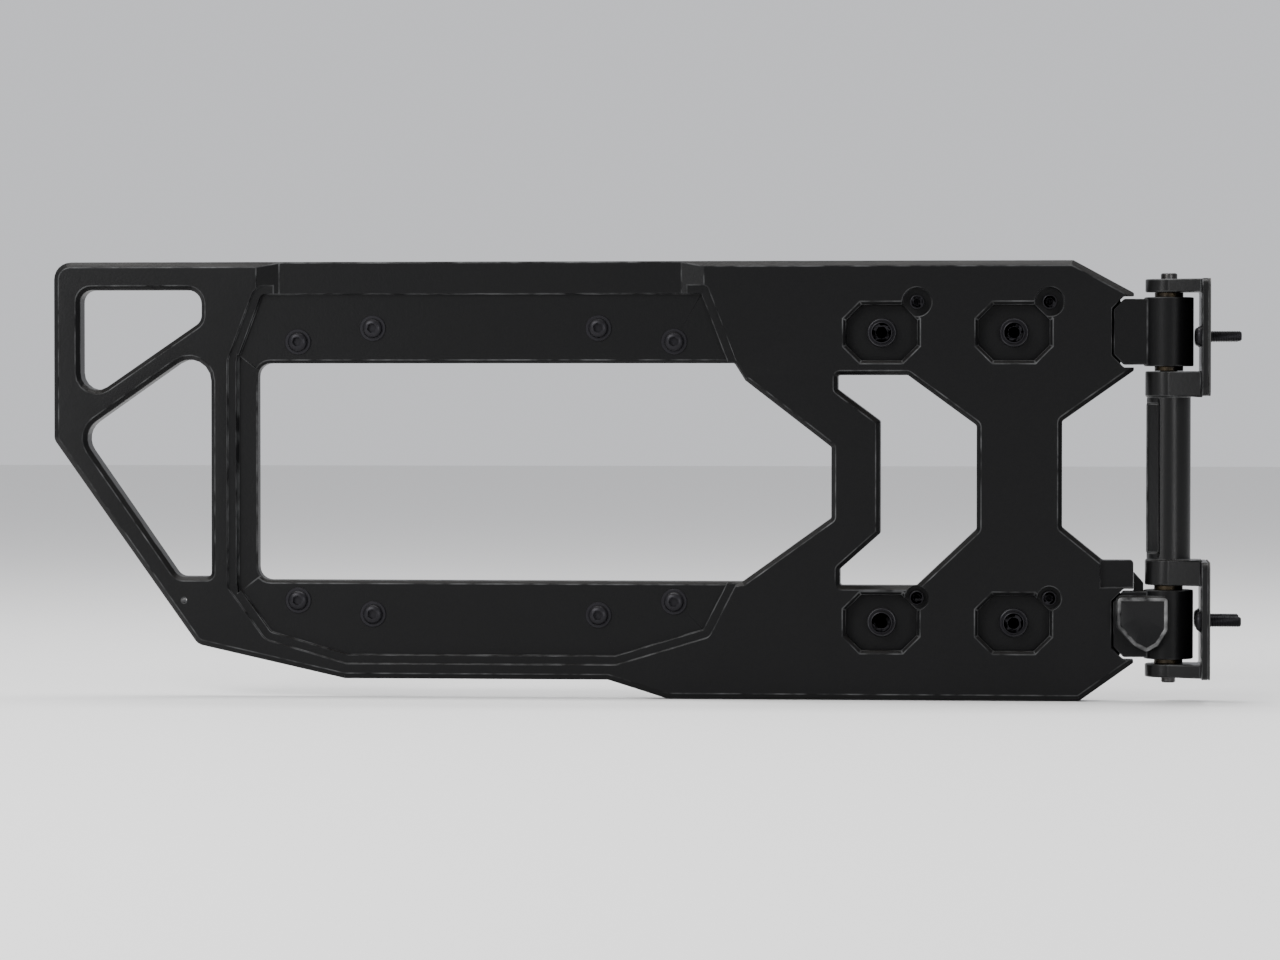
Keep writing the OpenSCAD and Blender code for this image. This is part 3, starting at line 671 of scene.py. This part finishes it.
def lathe_marks_group():
    """Fine rings that a tool leaves round a turned part's own axis, and blotches of oil over them."""
    group, given, result = shader_group("lathe_marks", [("Rings per metre", 3000)], ["Rings", "Oil"])
    add, join = nodes_of(group)
    place = add("ShaderNodeTexCoord")
    split = add("ShaderNodeSeparateXYZ")
    join(place.outputs["Object"], split.inputs[0])
    rings = add("ShaderNodeTexNoise", noise_dimensions="1D")
    join(split.outputs["Z"], rings.inputs["W"])
    join(given.outputs["Rings per metre"], rings.inputs["Scale"])
    rings.inputs["Detail"].default_value = 3
    join(rings.outputs["Fac"], result.inputs["Rings"])
    oil = add("ShaderNodeTexNoise")
    oil.inputs["Scale"].default_value = 90
    oil.inputs["Detail"].default_value = 4
    join(place.outputs["Object"], oil.inputs["Vector"])
    spread = add("ShaderNodeMapRange")
    spread.inputs["From Min"].default_value = 0.4
    spread.inputs["From Max"].default_value = 0.65
    join(oil.outputs["Fac"], spread.inputs["Value"])
    join(spread.outputs["Result"], result.inputs["Oil"])
    return group


lathe_marks = lathe_marks_group()


def turned_metal(name, clean, oiled, rough):
    """A bare turned metal with tool rings, and darker, glossier patches of old oil."""
    material = bpy.data.materials.new(name)
    material.use_nodes = True
    tree = material.node_tree
    add, join = nodes_of(tree)
    shader = tree.nodes["Principled BSDF"]
    marks = add("ShaderNodeGroup", node_tree=lathe_marks)
    marks.inputs["Rings per metre"].default_value = 2600
    colour = add("ShaderNodeMix", data_type="RGBA")
    colour.inputs["A"].default_value = clean
    colour.inputs["B"].default_value = oiled
    join(marks.outputs["Oil"], colour.inputs["Factor"])
    join(colour.outputs["Result"], shader.inputs["Base Color"])
    gloss = add("ShaderNodeMapRange")
    gloss.inputs["To Min"].default_value = rough + 0.08
    gloss.inputs["To Max"].default_value = rough - 0.08
    join(marks.outputs["Oil"], gloss.inputs["Value"])
    join(gloss.outputs["Result"], shader.inputs["Roughness"])
    shader.inputs["Metallic"].default_value = 0.9
    relief = add("ShaderNodeBump")
    relief.inputs["Strength"].default_value = 0.2
    relief.inputs["Distance"].default_value = 0.0001
    join(marks.outputs["Rings"], relief.inputs["Height"])
    join(relief.outputs["Normal"], shader.inputs["Normal"])
    return material


pin_steel = turned_metal("pin_ground_steel", clean=(0.060, 0.060, 0.062, 1),
                         oiled=(0.022, 0.020, 0.018, 1), rough=0.34)
bush_bronze = turned_metal("bush_bronze", clean=(0.050, 0.038, 0.023, 1),
                           oiled=(0.016, 0.013, 0.010, 1), rough=0.42)
for side in ("upper", "lower"):
    show(soft_edged(side + "_leaf_washers", 0.3 * MM), side + "_cap_screw_washers", BLACK_OXIDE,
         "gate_side", side + "_leaf_washers")
    show(soft_edged(side + "_hinge_pin", 0.4 * MM), side + "_ground_pin", pin_steel, "body_side",
         side + "_hinge_pin")
    for end in ("top", "bottom"):
        bush = side + "_bush_" + end
        show(soft_edged(bush, 0.4 * MM), bush + "_bronze", bush_bronze, "gate_side", bush)
show(soft_edged("pin_set_screws", 0.15 * MM), "pin_locking_screws", BLACK_OXIDE, "body_side",
     "pin_set_screws")

# ---------------------------------------------------------------------------------------------
# Rubber: pads glued to the lands on the back of the casting, and a gasket under each flange.
# It is moulded black, has a slight bloom, and holds more dust than the metal does.


def rubber_material():
    """Moulded rubber with a grey bloom in patches, a fine skin and dust on top."""
    material = bpy.data.materials.new("black_rubber")
    material.use_nodes = True
    tree = material.node_tree
    add, join = nodes_of(tree)
    shader = tree.nodes["Principled BSDF"]
    film = add("ShaderNodeGroup", node_tree=road_dust)
    film.inputs["Amount"].default_value = 0.4
    place = add("ShaderNodeTexCoord")
    bloom = add("ShaderNodeTexNoise")
    bloom.inputs["Scale"].default_value = 55
    bloom.inputs["Detail"].default_value = 6
    join(place.outputs["Object"], bloom.inputs["Vector"])
    tone = add("ShaderNodeMix", data_type="RGBA")
    tone.inputs["A"].default_value = (0.010, 0.010, 0.010, 1)
    tone.inputs["B"].default_value = (0.026, 0.026, 0.025, 1)
    join(bloom.outputs["Fac"], tone.inputs["Factor"])
    dusty = add("ShaderNodeMix", data_type="RGBA")
    dusty.inputs["B"].default_value = DUST
    join(film.outputs["Mask"], dusty.inputs["Factor"])
    join(tone.outputs["Result"], dusty.inputs["A"])
    join(dusty.outputs["Result"], shader.inputs["Base Color"])
    skin = add("ShaderNodeTexNoise")
    skin.inputs["Scale"].default_value = 1400
    join(place.outputs["Object"], skin.inputs["Vector"])
    relief = add("ShaderNodeBump")
    relief.inputs["Strength"].default_value = 0.25
    relief.inputs["Distance"].default_value = 0.0002
    join(skin.outputs["Fac"], relief.inputs["Height"])
    join(relief.outputs["Normal"], shader.inputs["Normal"])
    gloss = add("ShaderNodeMapRange")
    gloss.inputs["To Min"].default_value = 0.62
    gloss.inputs["To Max"].default_value = 0.82
    join(bloom.outputs["Fac"], gloss.inputs["Value"])
    join(gloss.outputs["Result"], shader.inputs["Roughness"])
    return material


rubber = rubber_material()
for pad in ("left", "upper", "lower", "right"):
    show(soft_edged(pad + "_pad", 0.6 * MM), pad + "_rubber_pad", rubber, "gate_side",
         pad + "_pad")
for side in ("upper", "lower"):
    show(soft_edged(side + "_flange_gasket", 0.3 * MM), side + "_rubber_gasket", rubber, "body_side",
         side + "_flange_gasket")

# ---------------------------------------------------------------------------------------------
# Stage: a pale painted floor just under the frame, and soft light from a key lamp, two strips
# that draw the edges of the black coat, a lamp above and an even sky.

FLOOR_REACH = 12.0                            # half of the floor's side, in metres
FLOOR_GAP = 0.5 * MM
floor_mesh = bpy.data.meshes.new("floor")
floor_mesh.from_pydata([(x * FLOOR_REACH, y * FLOOR_REACH, low.z - FLOOR_GAP)
                        for x, y in ((-1, -1), (1, -1), (1, 1), (-1, 1))], [], [(0, 1, 2, 3)])
floor = bpy.data.objects.new("floor", floor_mesh)
scene.collection.objects.link(floor)
floor_paint = bpy.data.materials.new("floor_paint")
floor_paint.use_nodes = True
floor_shader = floor_paint.node_tree.nodes["Principled BSDF"]
floor_shader.inputs["Base Color"].default_value = (0.80, 0.795, 0.785, 1)
floor_shader.inputs["Roughness"].default_value = 0.7
floor_mesh.materials.append(floor_paint)


def soft_light(name, away, size, power):
    """A softbox at a distance from the object's centre, turned towards it, in metres and watts."""
    data = bpy.data.lights.new(name, "AREA")
    data.shape = "RECTANGLE"
    data.size, data.size_y = size
    data.energy = power
    lamp = bpy.data.objects.new(name, data)
    scene.collection.objects.link(lamp)
    lamp.location = centre + Vector(away)
    lamp.rotation_euler = (-Vector(away)).to_track_quat("-Z", "Y").to_euler()


soft_light("key", (-1.6, -2.6, 2.2), (2.2, 1.4), 130)
soft_light("left_strip", (-1.7, -2.9, 0.25), (0.6, 1.6), 34)
soft_light("right_strip", (2.0, -2.8, 0.3), (0.6, 1.6), 40)
soft_light("top", (0.0, 0.4, 2.6), (3.0, 1.2), 90)
world = bpy.data.worlds.new("studio")
world.use_nodes = True
sky = world.node_tree.nodes["Background"]
sky.inputs["Color"].default_value = (0.95, 0.96, 1.0, 1)
sky.inputs["Strength"].default_value = 0.80
scene.world = world
